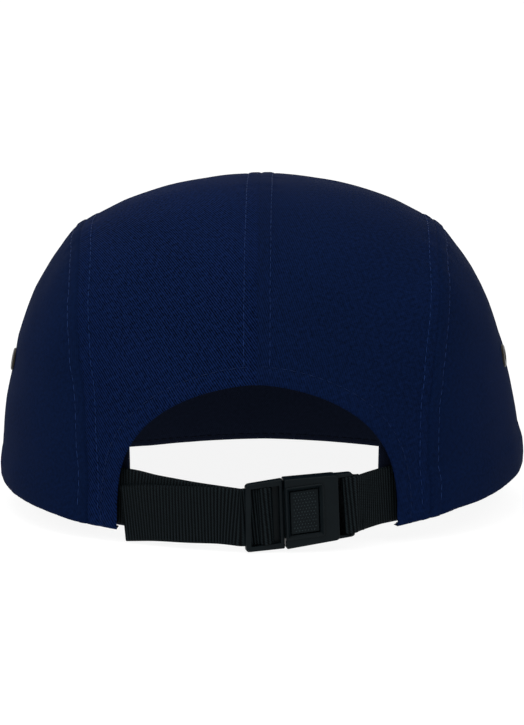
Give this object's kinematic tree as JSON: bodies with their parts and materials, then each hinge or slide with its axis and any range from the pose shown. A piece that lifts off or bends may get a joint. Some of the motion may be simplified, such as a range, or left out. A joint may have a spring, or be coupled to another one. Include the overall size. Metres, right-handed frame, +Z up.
{
  "type": "five panel cap",
  "caption": "Five panel camp cap: front panel, two side panels, two top and back panels, peak, sweatband, eyelets and a webbing strap with a buckle across the back opening.",
  "frame": {"origin": "on the surface the cap stands on, under the middle of its bounding box", "axes": "+Y forward over the peak, +X to the wearer's right, +Z up out of the crown's top"},
  "size_m": [0.188, 0.2668, 0.1174],
  "materials": {
    "twill": "navy cotton twill, matt",
    "sweatband": "dark navy cotton twill, matt",
    "webbing": "black ribbed webbing, matt",
    "buckle": "black moulded plastic, satin",
    "eyelet": "blackened metal, satin"
  },
  "bodies": {
    "root": {"front_panel": "twill", "back_panel_left": "twill", "back_panel_right": "twill", "side_panel_left": "twill", "side_panel_right": "twill", "peak": "twill", "sweatband": "sweatband", "eyelet_left": "eyelet", "eyelet_right": "eyelet", "strap_long": "webbing", "strap_short": "webbing", "buckle_tongue": "buckle", "buckle_socket": "buckle"}
  },
  "joints": []
}
